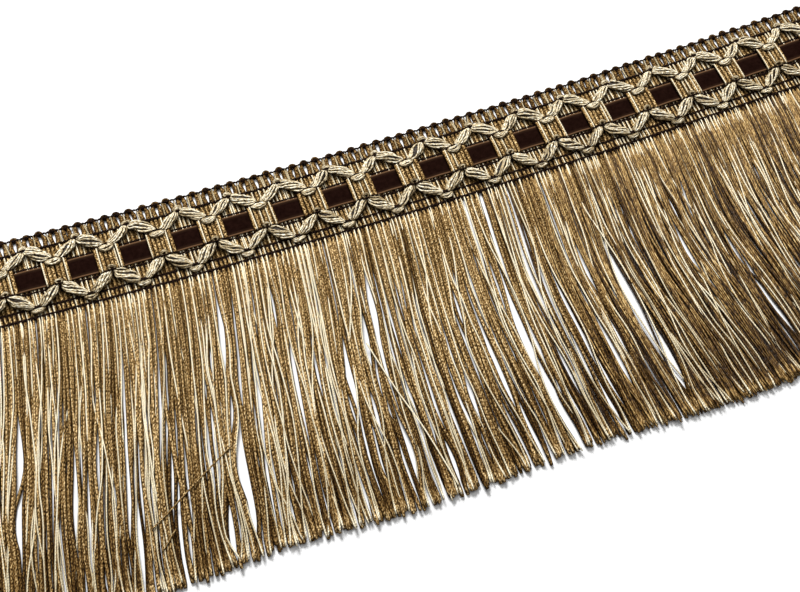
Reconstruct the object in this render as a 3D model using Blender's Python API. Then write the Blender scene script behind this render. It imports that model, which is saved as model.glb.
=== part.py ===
"""A cut length of tassel fringe trim: a woven heading, a laced ribbon, two zig-zag gimp cords and a fringe.

The trim lies face up and flat. X runs along the heading, +Y points at the edge with the picot loops,
-Y at the tips of the fringe, and +Z out of the face. The origin is on the heading's flat back, under the
ribbon's centre line, at the middle of the length. All sizes are in metres.
"""

import math
import random

import bmesh
import bpy

# The heading repeats itself: one bar of weft yarns over the ribbon, then one window that shows the ribbon.
REPEAT = 0.016
REPEATS = 19
HALF_LENGTH = REPEAT * REPEATS / 2
BAR_COUNT = REPEATS
BAR_WIDTH = 0.0072

# The heading lies in a shallow curve, y = BOW_CURVATURE * x * x.
BOW_CURVATURE = 0.1875

# Places across the heading, measured from the ribbon's centre line.
EDGE_LINE = 0.0155
UPPER_TIE_LINE = 0.0106
LOWER_TIE_LINE = -0.0099
ROOT_LINE = -0.0130
GROUND_LOW_EDGE = -0.0112
STRIP_HIGH_EDGE = -0.0115
STRIP_LOW_EDGE = -0.0136
TIP_LINE = -0.1043

# Heights above the surface that the trim lies on.
CLEARANCE = 0.0003
GROUND_THICKNESS = 0.0010
RIBBON_WIDTH = 0.0073
RIBBON_THICKNESS = 0.0005
TUNNEL_HALF_WIDTH = 0.0040
TUNNEL_HEIGHT = GROUND_THICKNESS + RIBBON_THICKNESS + 2 * CLEARANCE

# The picot loops along the heading's top edge.
PICOTS_PER_REPEAT = 4
PICOT_FOOT_HALF = 0.0012
PICOT_TOP_HALF = 0.00065
PICOT_HEIGHT = 0.0013

# The gimp cord's half width at its leaves, its ties and its small loops, and how flat it is.
LEAF_HALF_WIDTH = 0.0013
NECK_HALF_WIDTH = 0.00045
LOOP_HALF_WIDTH = 0.00105
GIMP_FLATNESS = 0.5

# The dark warp threads that run the length of the heading.
THREAD_RADIUS = 0.00022
THREAD_HEIGHT = GROUND_THICKNESS + CLEARANCE + THREAD_RADIUS
TIE_HEIGHT = 0.00265

# The fringe's locks.
LOCKS_PER_REPEAT = 10
LOCK_WIDTH = 0.00125
LOCK_HEIGHT = 0.0012
LOCK_ROOT_SCALE = 0.62
LOCK_ROOT_LINE = -0.0125
LOCK_ROOT_HEIGHT = 0.00015
LOCK_STEPS = 4
LOCK_CLOSEST = 0.00143
TIP_UNEVENNESS = 0.0009
TIP_WAVE = 0.0008
TIP_WAVE_LENGTH = 0.080
CLUMP_SIZES = (4, 9)
SEED = 11

# How far the fringe lies to the side: a lean with a bend at the left end, and at the right end a lean to the
# left that turns into one to the right at a share of the way down.
LEFT_LEAN = -0.0110
LEFT_BEND = -0.0030
RIGHT_LEAN = -0.0105
RIGHT_TURN = 0.0105
TURN_PLACE = 0.41
TURN_ROUNDING = 0.12
SWAY_LEFT_END = -0.110
SWAY_RIGHT_END = 0.090


def bow(x):
    """How far the heading lies off a straight line at x: a shallow curve, with its ends towards +Y."""
    return BOW_CURVATURE * x**2


def ease(value, low, high):
    """0 below low, 1 above high, and between them the cubic 3s^2 - 2s^3 of the share s of the way."""
    share = min(max((value - low) / (high - low), 0), 1)
    return share * share * (3 - 2 * share)


def sway(x, share):
    """How far a strand that is rooted at x lies to the side, at a share of the way down to its tip."""
    left = LEFT_LEAN * share + LEFT_BEND * (1 - math.cos(math.pi * share))
    turn = math.hypot(share - TURN_PLACE, TURN_ROUNDING) - math.hypot(TURN_PLACE, TURN_ROUNDING)
    right = RIGHT_LEAN * share + RIGHT_TURN * (share + turn)
    return left + (right - left) * ease(x, SWAY_LEFT_END, SWAY_RIGHT_END)


def tip_line(x):
    """Where the fringe was cut: almost straight, so it takes up only half of the heading's curve."""
    return TIP_LINE + bow(x) / 2 - TIP_WAVE * math.sin(2 * math.pi * x / TIP_WAVE_LENGTH - math.pi)


def material(name, colour, roughness):
    made = bpy.data.materials.new(name)
    made.use_nodes = True
    shader = made.node_tree.nodes["Principled BSDF"]
    shader.inputs["Base Color"].default_value = (*colour, 1)
    shader.inputs["Roughness"].default_value = roughness
    shader.inputs["Metallic"].default_value = 0
    return made


def poly_spline(curve, points, radii=None, cyclic=False):
    """Adds one spline through the points, each (x, y, z), to the curve."""
    spline = curve.splines.new("POLY")
    spline.points.add(len(points) - 1)
    for place, point in zip(spline.points, points):
        place.co = (*point, 1)
    if radii:
        for place, radius in zip(spline.points, radii):
            place.radius = radius
    spline.use_cyclic_u = cyclic
    return spline


def link(name, data, collection, finish):
    obj = bpy.data.objects.new(name, data)
    collection.objects.link(obj)
    if finish:
        data.materials.append(finish)
    return obj


def flat_outline(name, outline, thickness, collection, finish):
    """A plate of the given thickness whose outline is a closed list of (x, y), centred on its own plane."""
    curve = bpy.data.curves.new(name, "CURVE")
    curve.dimensions = "2D"
    curve.fill_mode = "BOTH"
    curve.extrude = thickness / 2
    poly_spline(curve, [(x, y, 0) for x, y in outline], cyclic=True)
    return link(name, curve, collection, finish)


def to_mesh(obj):
    """Turns a curve object into a mesh object in its place, with its caps welded on."""
    bpy.context.view_layer.update()
    graph = bpy.context.evaluated_depsgraph_get()
    mesh = bpy.data.meshes.new_from_object(obj.evaluated_get(graph))
    mesh.transform(obj.matrix_world)
    shape = bmesh.new()
    shape.from_mesh(mesh)
    bmesh.ops.remove_doubles(shape, verts=shape.verts, dist=1e-6)
    for vertex in shape.verts:
        if abs(vertex.co.z) < 1e-6:
            vertex.co.z = 0
    bmesh.ops.recalc_face_normals(shape, faces=shape.faces)
    shape.to_mesh(mesh)
    shape.free()
    name, collection = obj.name, obj.users_collection[0]
    bpy.data.objects.remove(obj)
    made = bpy.data.objects.new(name, mesh)
    collection.objects.link(made)
    return made


def profile(name, points, helpers):
    """A closed section that a cord or a lock is swept with."""
    curve = bpy.data.curves.new(name, "CURVE")
    curve.dimensions = "2D"
    poly_spline(curve, [(x, y, 0) for x, y in points], cyclic=True)
    obj = link(name, curve, helpers, None)
    hide(obj)
    return obj


def hide(obj):
    obj.hide_render = True
    obj.display_type = "WIRE"


def joined_by_union(base, helper):
    """Fuses the helper into the base with a Boolean, and keeps the helper out of the render."""
    hide(helper)
    modifier = base.modifiers.new("fused " + helper.name, "BOOLEAN")
    modifier.operation = "UNION"
    modifier.solver = "EXACT"
    modifier.object = helper


def along(step):
    """Places along the whole heading, a step apart, with both ends."""
    count = round(2 * HALF_LENGTH / step)
    return [-HALF_LENGTH + 2 * HALF_LENGTH * i / count for i in range(count + 1)]


# Half of a bar's cross section, from its foot in the woven sheet up to the middle, on the outside and along
# the tunnel that the ribbon lies in. Columns: distance from the ribbon's centre line, height.
BAR_OUTSIDE = (
    (0.0050, GROUND_THICKNESS / 2),
    (0.0048, 0.0017),
    (0.0041, 0.0025),
    (0.0020, 0.00275),
)
BAR_INSIDE = (
    (TUNNEL_HALF_WIDTH, GROUND_THICKNESS / 2),
    (TUNNEL_HALF_WIDTH, TUNNEL_HEIGHT - 0.00015),
    (TUNNEL_HALF_WIDTH - 0.0003, TUNNEL_HEIGHT),
)


def heading_ground(part, helpers, finish):
    """The woven band: a thin sheet with a looped top edge, and one arch of weft yarns at each bar."""
    low_edge = [(x, GROUND_LOW_EDGE + bow(x)) for x in along(REPEAT / 2)]
    picot = REPEAT / PICOTS_PER_REPEAT
    loop = (
        (0, 0),
        (picot / 2 - PICOT_FOOT_HALF, 0.1 * PICOT_HEIGHT),
        (picot / 2 - PICOT_TOP_HALF, PICOT_HEIGHT),
        (picot / 2 + PICOT_TOP_HALF, PICOT_HEIGHT),
        (picot / 2 + PICOT_FOOT_HALF, 0.1 * PICOT_HEIGHT),
    )
    top_edge = [
        (x + dx, EDGE_LINE + dy + bow(x + dx)) for x in along(picot)[:-1] for dx, dy in loop
    ]
    top_edge.append((HALF_LENGTH, EDGE_LINE + bow(HALF_LENGTH)))
    sheet = flat_outline(
        "heading_ground", low_edge + top_edge[::-1], GROUND_THICKNESS, part, finish
    )
    sheet.location.z = GROUND_THICKNESS / 2
    sheet = to_mesh(sheet)
    sheet.data.materials.append(finish)

    outline = (
        list(BAR_OUTSIDE)
        + [(-y, z) for y, z in BAR_OUTSIDE[::-1]]
        + [(-y, z) for y, z in BAR_INSIDE]
        + list(BAR_INSIDE[::-1])
    )
    for i in range(BAR_COUNT):
        x = (i - (BAR_COUNT - 1) / 2) * REPEAT
        bar = flat_outline(f"weft_bar_{i + 1}", outline, BAR_WIDTH, helpers, None)
        bar.rotation_euler = (math.pi / 2, 0, math.pi / 2)
        bar.location = (x, bow(x), 0)
        joined_by_union(sheet, to_mesh(bar))
    return sheet


def ribbon(part, finish):
    """The dark ribbon, laced under the bars and over the band between them."""
    upper = [(x, RIBBON_WIDTH / 2 + bow(x)) for x in along(REPEAT)]
    lower = [(x, -RIBBON_WIDTH / 2 + bow(x)) for x in along(REPEAT)]
    strip = flat_outline("ribbon", lower + upper[::-1], RIBBON_THICKNESS, part, finish)
    strip.location.z = GROUND_THICKNESS + CLEARANCE + RIBBON_THICKNESS / 2
    return strip


def gimp_section(helpers):
    """A flattened hexagon, one unit in half width."""
    corners = [math.radians(60 * i) for i in range(6)]
    points = [(math.cos(a), GIMP_FLATNESS * math.sin(a) / math.sin(math.pi / 3)) for a in corners]
    return profile("gimp_section", points, helpers)


# Half a wave of gimp cord, from the loop over a bar to the loop beyond the tie line half a repeat on.
# Columns: share of the half repeat along X, share of the way to the outer loop, height, half width.
GIMP_HALF_WAVE = (
    # along, across, height, half width
    (0.000, 0.000, 0.00340, LOOP_HALF_WIDTH),
    (0.181, 0.100, 0.00295, NECK_HALF_WIDTH),
    (0.400, 0.340, 0.00215, LEAF_HALF_WIDTH),
    (0.650, 0.610, 0.00198, LEAF_HALF_WIDTH),
    (0.885, 0.865, 0.00180, NECK_HALF_WIDTH),
)
GIMP_OUTER_LOOP = (0.00180, LOOP_HALF_WIDTH * 0.9)


def gimp_cord(name, side, outer_loop, section, part, finish):
    """A soft cord that zig-zags from the bars to the tie line. side is 1 above the ribbon and -1 below it."""
    inner_loop = 0.0039
    half = REPEAT / 2
    points, radii = [], []
    for i in range(2 * REPEATS):
        start = -HALF_LENGTH + i * half
        from_outer = i % 2 == 0
        rows = [(1, 1, *GIMP_OUTER_LOOP), *GIMP_HALF_WAVE[:0:-1]] if from_outer else GIMP_HALF_WAVE
        for share, across, height, width in rows:
            x = start + half * (1 - share if from_outer else share)
            y = side * (inner_loop + across * (outer_loop - inner_loop))
            points.append((x, y + bow(x), height))
            radii.append(width)
    points.append((HALF_LENGTH, side * outer_loop + bow(HALF_LENGTH), GIMP_OUTER_LOOP[0]))
    radii.append(GIMP_OUTER_LOOP[1])
    curve = bpy.data.curves.new(name, "CURVE")
    curve.dimensions = "3D"
    curve.twist_mode = "Z_UP"
    curve.bevel_mode = "OBJECT"
    curve.bevel_object = section
    curve.use_fill_caps = True
    poly_spline(curve, points, radii)
    cord = to_mesh(link(name, curve, part, None))
    cord.data.materials.append(finish)
    return cord


def warp_thread(name, line, over_gimp, part, finish):
    """A dark thread along the heading. Over a gimp cord's ties it rises to clear them."""
    points = [(x, line + bow(x), THREAD_HEIGHT) for x in along(REPEAT)]
    if over_gimp:
        tie_shape = (
            (-0.15, THREAD_HEIGHT),
            (-0.09, TIE_HEIGHT),
            (0.09, TIE_HEIGHT),
            (0.15, THREAD_HEIGHT),
        )
        points = [
            (tie + share * REPEAT, line + bow(tie + share * REPEAT), height)
            for tie in along(REPEAT)
            for share, height in tie_shape
            if abs(tie + share * REPEAT) <= HALF_LENGTH
        ]
        ends = [(x, line + bow(x), TIE_HEIGHT) for x in (-HALF_LENGTH, HALF_LENGTH)]
        points = [ends[0], *points, ends[1]]
    curve = bpy.data.curves.new(name, "CURVE")
    curve.dimensions = "3D"
    curve.bevel_depth = THREAD_RADIUS
    curve.bevel_resolution = 0
    curve.use_fill_caps = True
    poly_spline(curve, points)
    return link(name, curve, part, finish)


def gathered(roots, chance):
    """The roots' places along X, drawn together in clumps, in the same order."""
    places = []
    i = 0
    while i < len(roots):
        clump = roots[i : i + chance.randint(*CLUMP_SIZES)]
        middle = sum(clump) / len(clump)
        for root in clump:
            places.append(middle + (root - middle) * LOCK_CLOSEST / (REPEAT / LOCKS_PER_REPEAT))
        i += len(clump)
    return places


def fringe(part, helpers, finish):
    """The fringe: locks of yarn side by side, rooted in a narrow strip along the heading's lower edge."""
    chance = random.Random(SEED)
    high = [(x, STRIP_HIGH_EDGE + bow(x)) for x in along(REPEAT)]
    low = [(x, STRIP_LOW_EDGE + bow(x)) for x in along(REPEAT)]
    strip = flat_outline("fringe", low + high[::-1], GROUND_THICKNESS, part, finish)
    strip.location.z = GROUND_THICKNESS / 2
    strip = to_mesh(strip)
    strip.data.materials.append(finish)

    section = profile(
        "lock_section", [(-LOCK_WIDTH / 2, 0), (LOCK_WIDTH / 2, 0), (0, LOCK_HEIGHT)], helpers
    )
    curve = bpy.data.curves.new("locks", "CURVE")
    curve.dimensions = "3D"
    curve.twist_mode = "Z_UP"
    curve.bevel_mode = "OBJECT"
    curve.bevel_object = section
    curve.use_fill_caps = True
    spacing = REPEAT / LOCKS_PER_REPEAT
    roots = [-HALF_LENGTH + (i + 0.5) * spacing for i in range(REPEATS * LOCKS_PER_REPEAT)]
    for root, place in zip(roots, gathered(roots, chance)):
        start = LOCK_ROOT_LINE + bow(root)
        end = tip_line(root) + chance.uniform(-TIP_UNEVENNESS, TIP_UNEVENNESS)
        points, radii = [], []
        for step in range(LOCK_STEPS + 1):
            share = step / LOCK_STEPS
            x = root + (place - root) * ease(share, 0, 1) + sway(root, share)
            points.append((x, start + (end - start) * share, 0 if step else LOCK_ROOT_HEIGHT))
            radii.append(1 if step else LOCK_ROOT_SCALE)
        poly_spline(curve, points, radii)
    locks = to_mesh(link("locks", curve, helpers, None))
    joined_by_union(strip, locks)
    return strip


def build():
    for obj in list(bpy.data.objects):
        bpy.data.objects.remove(obj, do_unlink=True)
    part = bpy.data.collections.new("tassel_fringe_trim")
    helpers = bpy.data.collections.new("helpers")
    for collection in (part, helpers):
        bpy.context.scene.collection.children.link(collection)

    tan_yarn = material("tan_yarn", (0.30, 0.19, 0.085), 0.75)
    cream_gimp = material("cream_gimp", (0.62, 0.54, 0.38), 0.55)
    brown_ribbon = material("brown_ribbon", (0.018, 0.008, 0.006), 0.6)
    dark_thread = material("dark_thread", (0.03, 0.015, 0.008), 0.7)

    heading_ground(part, helpers, tan_yarn)
    ribbon(part, brown_ribbon)
    section = gimp_section(helpers)
    gimp_cord("gimp_upper", 1, 0.0113, section, part, cream_gimp)
    gimp_cord("gimp_lower", -1, 0.0106, section, part, cream_gimp)
    warp_thread("warp_thread_edge", EDGE_LINE, False, part, dark_thread)
    warp_thread("warp_thread_upper", UPPER_TIE_LINE, True, part, dark_thread)
    warp_thread("warp_thread_lower", LOWER_TIE_LINE, True, part, dark_thread)
    warp_thread("warp_thread_root", ROOT_LINE, False, part, dark_thread)
    fringe(part, helpers, tan_yarn)


build()
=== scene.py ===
"""A cut length of tassel fringe trim, lying face up on a white table.

The frame and every piece share one set of axes, in metres: X runs along the heading, +Y points at the edge
with the picot loops, -Y at the tips of the fringe, and +Z up, out of the trim's face.
"""

import bpy
import numpy as np
from mathutils import Matrix, Vector


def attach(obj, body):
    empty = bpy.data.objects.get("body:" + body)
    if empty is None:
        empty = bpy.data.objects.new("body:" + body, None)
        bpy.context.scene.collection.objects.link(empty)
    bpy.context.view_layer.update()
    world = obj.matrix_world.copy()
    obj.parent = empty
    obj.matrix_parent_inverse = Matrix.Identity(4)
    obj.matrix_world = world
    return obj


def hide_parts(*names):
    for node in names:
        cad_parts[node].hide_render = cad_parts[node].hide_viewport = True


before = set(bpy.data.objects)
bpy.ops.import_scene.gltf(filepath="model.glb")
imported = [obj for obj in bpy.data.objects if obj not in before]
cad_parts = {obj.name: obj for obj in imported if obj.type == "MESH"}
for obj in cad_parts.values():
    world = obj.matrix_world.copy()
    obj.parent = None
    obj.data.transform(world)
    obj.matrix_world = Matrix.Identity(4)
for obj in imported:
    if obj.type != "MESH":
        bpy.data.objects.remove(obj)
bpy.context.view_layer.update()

# ---------------------------------------------------------------------------------------------------------
# Ground weft. The heading's ground is crepe yarn of three tan plies, carried to and fro across the band, 12
# passes to a repeat. Six passes of each repeat cross over the ribbon as a bar, and the other six pass
# under it. Every pass ends in the fringe.

MM = 0.001
REPEAT = 16 * MM
REPEATS = 19
HALF_LENGTH = REPEAT * REPEATS / 2
BOW_CURVATURE = 0.1875
PASSES_PER_REPEAT = 12
PASS_STEP = REPEAT / PASSES_PER_REPEAT

YARN_HALF_WIDTH = 0.54 * MM
YARN_HALF_HEIGHT = 0.42 * MM
YARN_REST_HEIGHT = 0.45 * MM
BAR_RISE = 1.85 * MM
BAR_FOOT = 5.5 * MM
BAR_SHOULDER = 3.9 * MM
BAR_CROWN = 0.08
# Along the heading, as shares of a repeat from the bar's middle.
BAR_REACH = 0.25
BAR_SLOPE = 0.03
ON_BAR = BAR_REACH + 0.02
# A bar's yarns are drawn in to this share of their places: in full within the first line, and not at all
# beyond the second.
BAR_PINCH = 0.98
PINCH_LINE = 4.4 * MM
PINCH_END = 7.5 * MM


def bow(x):
    """How far the heading lies off a straight line at x: the curvature times x squared."""
    return BOW_CURVATURE * x**2


def ease(value, low, high):
    """0 below low, 1 above high, and between them the cubic 3s^2 - 2s^3 of the share s of the way."""
    share = np.clip((value - low) / (high - low), 0, 1)
    return share * share * (3 - 2 * share)


def bar_phase(x):
    """The place within a repeat, from -0.5 to 0.5, with 0 at the middle of the nearest bar."""
    return x / REPEAT - np.round(x / REPEAT)


def weft_height(x, y):
    """The height of the weft's middle: level, and raised over the ribbon by an eased arch at each bar."""
    at_bar = 1 - ease(np.abs(bar_phase(x)), BAR_REACH - BAR_SLOPE, BAR_REACH + BAR_SLOPE)
    arch = 1 - ease(np.abs(y), BAR_SHOULDER, BAR_FOOT)
    crown = 1 + BAR_CROWN * np.cos(np.clip(y / BAR_SHOULDER, -1, 1) * np.pi / 2)
    return YARN_REST_HEIGHT + BAR_RISE * at_bar * arch * crown


def drawn_in(x, y):
    """The sideways place of a weft at y: a bar's yarns are drawn towards its middle where they cross over."""
    middle = np.round(x / REPEAT) * REPEAT
    inside = 1 - ease(np.abs(y), PINCH_LINE, PINCH_END)
    at_bar = np.abs(bar_phase(x)) < ON_BAR
    return middle + (x - middle) * np.where(at_bar, 1 + (BAR_PINCH - 1) * inside, 1)


def carried(centres, half_width, half_height, sides):
    """An oval section carried along many paths at once: (corners, rings per path, length along each path).

    centres is paths x places x 3. At each place the side is the path's direction crossed with Z, and the
    rise is square to both. The corner at angle a lies at the centre, plus half_width times cos(a) along the
    side, plus half_height times sin(a) along the rise.
    """
    along = np.gradient(centres, axis=1)
    along /= np.linalg.norm(along, axis=2, keepdims=True)
    side = np.cross(along, (0, 0, 1))
    side /= np.linalg.norm(side, axis=2, keepdims=True)
    rise = np.cross(side, along)
    angle = np.arange(sides) * 2 * np.pi / sides
    shape = centres.shape[:2]
    width = np.broadcast_to(half_width, shape)[..., None, None]
    height = np.broadcast_to(half_height, shape)[..., None, None]
    corners = (
        centres[:, :, None]
        + width * np.cos(angle)[:, None] * side[:, :, None]
        + height * np.sin(angle)[:, None] * rise[:, :, None]
    )
    steps = np.linalg.norm(np.diff(centres, axis=1), axis=2)
    length = np.concatenate([np.zeros((shape[0], 1)), np.cumsum(steps, axis=1)], axis=1)
    return corners, length


def yarns(name, corners, length, material, values, start=None):
    """One mesh of many closed yarns, with a UV map of (share of the way round, millimetres along).

    Place i of a path is joined to place i + 1 by a ring of quads, and the two ends are closed by a flat
    face each. values are named numbers, one for each place of each path, kept as attributes. start is how
    far along its twist each path begins.
    """
    paths, places, sides = corners.shape[:3]
    index = np.arange(paths * places * sides).reshape(paths, places, sides)
    following = np.roll(index, -1, axis=2)
    quads = np.stack([index[:, :-1], index[:, 1:], following[:, 1:], following[:, :-1]], axis=-1)
    caps = np.stack([index[:, 0], index[:, -1, ::-1]], axis=1)
    start = np.zeros(paths) if start is None else start
    metres = (length + start[:, None]) / MM
    around = np.arange(sides) / sides
    u = np.stack([around, around, around + 1 / sides, around + 1 / sides], axis=-1)
    u = np.broadcast_to(u, quads.shape)
    low, high = metres[:, :-1, None], metres[:, 1:, None]
    v = np.broadcast_to(np.stack([low, high, high, low], axis=-1), quads.shape)
    cap_v = np.repeat(metres[:, [0, -1], None], sides, axis=2)
    cap_u = np.broadcast_to(around, cap_v.shape)
    uv = np.concatenate(
        [np.stack([u, v], axis=-1).reshape(-1, 2), np.stack([cap_u, cap_v], axis=-1).reshape(-1, 2)]
    )
    mesh = bpy.data.meshes.new(name)
    mesh.vertices.add(index.size)
    mesh.vertices.foreach_set("co", corners.astype(np.float32).ravel())
    mesh.loops.add(quads.size + caps.size)
    mesh.loops.foreach_set("vertex_index", np.concatenate([quads.ravel(), caps.ravel()]).astype(np.int32))
    quad_count, cap_count = quads.size // 4, caps.size // sides
    mesh.polygons.add(quad_count + cap_count)
    starts = np.concatenate([np.arange(quad_count) * 4, quads.size + np.arange(cap_count) * sides])
    mesh.polygons.foreach_set("loop_start", starts.astype(np.int32))
    rounded = np.concatenate([np.ones(quad_count, bool), np.zeros(cap_count, bool)])
    mesh.polygons.foreach_set("use_smooth", rounded)
    mesh.uv_layers.new(name="yarn").uv.foreach_set("vector", uv.astype(np.float32).ravel())
    for label, numbers in values.items():
        layer = mesh.attributes.new(label, "FLOAT", "POINT")
        spread = np.repeat(np.broadcast_to(numbers, (paths, places))[..., None], sides, axis=2)
        layer.data.foreach_set("value", spread.astype(np.float32).ravel())
    mesh.update(calc_edges=True)
    mesh.validate()
    mesh.materials.append(material)
    obj = bpy.data.objects.new(name, mesh)
    bpy.context.collection.objects.link(obj)
    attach(obj, "root")
    return obj


class Wire:
    """A shader socket that takes part in sums: each operator adds one Math node and gives its result."""

    def __init__(self, look, socket):
        self.look = look
        self.socket = socket

    def math(self, operation, *terms):
        return self.look.add("ShaderNodeMath", {"operation": operation}, dict(enumerate(terms)))

    def __add__(self, other):
        return self.math("ADD", self, other)

    def __sub__(self, other):
        return self.math("SUBTRACT", self, other)

    def __rsub__(self, other):
        return self.math("SUBTRACT", other, self)

    def __mul__(self, other):
        return self.math("MULTIPLY", self, other)


class Look:
    """One material: a Principled shader, and the nodes that feed it."""

    def __init__(self, name, **constants):
        self.material = bpy.data.materials.new(name)
        self.material.use_nodes = True
        self.tree = self.material.node_tree
        self.shader = self.tree.nodes["Principled BSDF"]
        for socket, value in constants.items():
            self.shader.inputs[socket.replace("_", " ")].default_value = value

    def add(self, kind, settings=None, inputs=None, output=0):
        """Adds a node, makes its settings, then fills its sockets with numbers or wires."""
        node = self.tree.nodes.new(kind)
        for key, value in (settings or {}).items():
            if key == "stops":
                self.set_stops(node.color_ramp, value)
            else:
                setattr(node, key, value)
        self.fill(node, inputs or {})
        return Wire(self, node.outputs[output])

    def set_stops(self, ramp, stops):
        """Gives a colour ramp its stops, each a place and a colour."""
        while len(ramp.elements) < len(stops):
            ramp.elements.new(1)
        for element, (place, colour) in zip(ramp.elements, stops):
            element.position = place
            element.color = (*colour, 1)

    def fill(self, node, inputs):
        """Sets each socket to a number, or links a wire to it."""
        for key, value in inputs.items():
            socket = node.inputs[key]
            if isinstance(value, Wire):
                self.tree.links.new(value.socket, socket)
            else:
                socket.default_value = value

    def finish(self, **inputs):
        """Fills the shader's own sockets, and gives the material."""
        self.fill(self.shader, {key.replace("_", " "): value for key, value in inputs.items()})
        return self.material


def srgb(red, green, blue):
    """A colour as it looks on screen, 0 to 255, as the linear colour that a shader takes."""
    share = np.array([red, green, blue]) / 255
    return tuple(np.where(share <= 0.04045, share / 12.92, ((share + 0.055) / 1.055) ** 2.4))


# The fibres' noise has this many cells round a yarn, and to a millimetre along it at a stretch of 1.
FIBRES_ROUND = 8
FIBRES_PER_MM = 3.2
# Patches of the yarn, under 2 mm across, turn its twist a little and are lighter or darker.
PATCH_SCALE = 600
PATCH_TURN = 9
PATCH_SHADE = 0.35
# Painted shade: gloom takes up to GLOOM_DEPTH of a yarn's light away, its flanks fall to FLANK_LIGHT, no
# level passes BRIGHTEST, and green and blue fall off by GREEN_POWER and BLUE_POWER, so the painted shade is
# brown.
GLOOM_DEPTH = 0.85
FLANK_LIGHT = 0.12
BRIGHTEST = 1.1
GREEN_POWER = 1.15
BLUE_POWER = 1.45


def twisted(name, light, body, dark, ply_length, plies, lay, fleck, stretch, roundness, roughness, shine):
    """Yarn of twisted plies: the lay winds once round in ply_length, with painted shade between its plies.

    The ply's height is cos(2 pi (plies * round + along / ply_length)). lay is how much of the colour follows
    it, as painted shade in the grooves between the plies, and fleck how much follows the fibres, whose flecks
    are the longer the larger stretch is. The yarn's flanks carry painted shade: they are darker than its top,
    by sin(2 pi round) to the power of roundness, which is 1 at the top. The attribute tone makes one yarn
    lighter than the next, and the attribute gloom is painted shade, which darkens it where little light falls
    in. What is darker is also browner: green and blue fall off as powers of the level, so the painted shade
    is warm.
    """
    look = Look(name, Roughness=roughness, Specular_IOR_Level=shine)
    place = look.add("ShaderNodeUVMap", {"uv_map": "yarn"})
    round_it = look.add("ShaderNodeSeparateXYZ", None, {0: place}, "X")
    along = look.add("ShaderNodeSeparateXYZ", None, {0: place}, "Y")
    spot = look.add("ShaderNodeTexCoord", None, None, "Object")
    cells = (FIBRES_ROUND, FIBRES_PER_MM / stretch, 1)
    drawn = look.add("ShaderNodeVectorMath", {"operation": "MULTIPLY"}, {0: place, 1: cells})
    fibres = look.add("ShaderNodeTexNoise", None, {"Vector": drawn, "Scale": 1.0, "Detail": 2})
    patches = look.add("ShaderNodeTexNoise", None, {"Vector": spot, "Scale": PATCH_SCALE, "Detail": 1})
    turn = (round_it * plies + along * (1 / ply_length)) * (2 * np.pi) + patches * PATCH_TURN
    ply = look.add("ShaderNodeMath", {"operation": "COSINE"}, {0: turn})
    stops = [(0.05, dark), (0.42, body), (0.55, body), (0.95, light)]
    # The ply term paints shade into the grooves between the plies; fibres and patches are the yarn's own
    # flecks.
    shade = ply * lay + (fibres - 0.5) * fleck + (patches - 0.5) * PATCH_SHADE + 0.5
    colour = look.add("ShaderNodeValToRGB", {"stops": stops}, {0: shade})
    tone = look.add("ShaderNodeAttribute", {"attribute_name": "tone"}, None, "Fac")
    gloom = look.add("ShaderNodeAttribute", {"attribute_name": "gloom"}, None, "Fac")
    # Painted shade on the flanks: the top of the yarn is lightest, its sides and underside darkest.
    top = look.add("ShaderNodeMath", {"operation": "SINE"}, {0: round_it * (2 * np.pi)})
    flank = look.add("ShaderNodeMath", {"operation": "MAXIMUM"}, {0: top, 1: 0.0})
    flank = look.add("ShaderNodeMath", {"operation": "POWER"}, {0: flank, 1: roundness})
    # The level is random tone times painted shade, from gloom and from the flanks.
    level = tone * (1 - gloom * GLOOM_DEPTH) * (flank + FLANK_LIGHT)
    level = look.add("ShaderNodeMath", {"operation": "MINIMUM"}, {0: level, 1: BRIGHTEST})
    green = look.add("ShaderNodeMath", {"operation": "POWER"}, {0: level, 1: GREEN_POWER})
    blue = look.add("ShaderNodeMath", {"operation": "POWER"}, {0: level, 1: BLUE_POWER})
    brown = look.add("ShaderNodeCombineXYZ", None, {0: level, 1: green, 2: blue})
    tinted = look.add(
        "ShaderNodeMix",
        {"data_type": "RGBA", "blend_type": "MULTIPLY"},
        {"Factor": 1.0, 6: colour, 7: brown},
        2,
    )
    height = ply * 0.5 + (fibres - 0.5) * 2
    bump = look.add("ShaderNodeBump", None, {"Strength": 0.9, "Distance": 0.12 * MM, "Height": height})
    return look.finish(Base_Color=tinted, Normal=bump)


tan_yarn = twisted(
    "tan_crepe_yarn",
    light=srgb(246, 214, 156),
    body=srgb(150, 117, 69),
    dark=srgb(30, 17, 5),
    ply_length=1.4,
    plies=3,
    lay=0.16,
    fleck=3.3,
    stretch=2.2,
    roundness=2.0,
    roughness=0.8,
    shine=0.05,
)

chance = np.random.default_rng(20)
# About one turn in radians, from which a wave's phase is drawn.
FULL_TURN = 6.3
WEFT_WANDER = 0.05 * MM
WEFT_WAVE = 3 * MM
# The places where a weft is bent to shape, closest together on the slopes of a bar.
# Columns: first and last place of a stretch in millimetres, and how many places it has.
WEFT_STRETCHES = (
    (-13.2, -6.0, 8),
    (-5.5, -3.7, 8),
    (-2.6, 2.6, 5),
    (3.7, 5.5, 8),
    (6.2, 10.6, 6),
)
pass_x = -HALF_LENGTH + (np.arange(REPEATS * PASSES_PER_REPEAT) + 0.5) * PASS_STEP
weft_y = MM * np.concatenate([np.linspace(*stretch) for stretch in WEFT_STRETCHES])


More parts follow.
